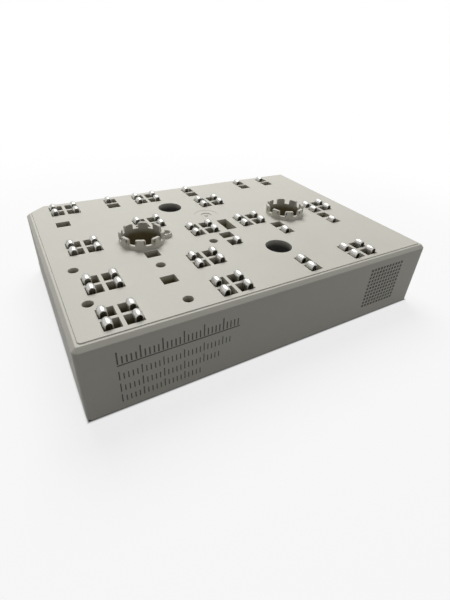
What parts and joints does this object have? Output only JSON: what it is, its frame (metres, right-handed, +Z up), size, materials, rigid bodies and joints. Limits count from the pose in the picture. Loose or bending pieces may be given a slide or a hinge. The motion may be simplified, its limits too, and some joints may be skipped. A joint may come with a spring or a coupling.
{
  "type": "power semiconductor module",
  "caption": "Flat power semiconductor module with a one-piece moulded housing, spring contacts in shafts, toothed guide crowns and a ceramic circuit board underneath.",
  "frame": {"origin": "middle of the mounting plane under the board", "axes": "+X along the long side with the keyed corner at -X, +Y towards the edge with the keyed corner, +Z up towards the contact side"},
  "size_m": [0.082, 0.059, 0.0188],
  "materials": {
    "housing_plastic": "light grey-beige moulded thermoplastic, fine matte grain",
    "spring_silver": "silver-plated spring strip, bright",
    "board_ceramic": "white alumina, matte",
    "copper": "bonded copper sheet, fine satin",
    "silicon": "polished chip face, dark grey",
    "wire_aluminium": "drawn aluminium wire",
    "thermistor_body": "dark fired ceramic",
    "gel": "clear soft silicone gel"
  },
  "bodies": {
    "root": {"housing": "housing_plastic", "ceramic_plate": "board_ceramic", "heat_spreader": "copper", "circuit_copper": "copper", "transistor_chips": "silicon", "freewheel_chips": "silicon", "rectifier_chips": "silicon", "bond_wires": "wire_aluminium", "thermistor": "thermistor_body", "soft_gel": "gel", "twin_springs": "spring_silver", "four_springs_01": "spring_silver", "four_springs_02": "spring_silver", "four_springs_03": "spring_silver", "four_springs_04": "spring_silver", "four_springs_05": "spring_silver", "four_springs_06": "spring_silver", "four_springs_07": "spring_silver", "four_springs_08": "spring_silver", "four_springs_09": "spring_silver", "four_springs_10": "spring_silver", "four_springs_11": "spring_silver", "four_springs_12": "spring_silver", "four_springs_13": "spring_silver", "back_spring_01": "spring_silver", "back_spring_02": "spring_silver", "back_spring_03": "spring_silver", "back_spring_04": "spring_silver", "middle_spring_01": "spring_silver", "middle_spring_02": "spring_silver", "middle_spring_03": "spring_silver"}
  },
  "joints": []
}
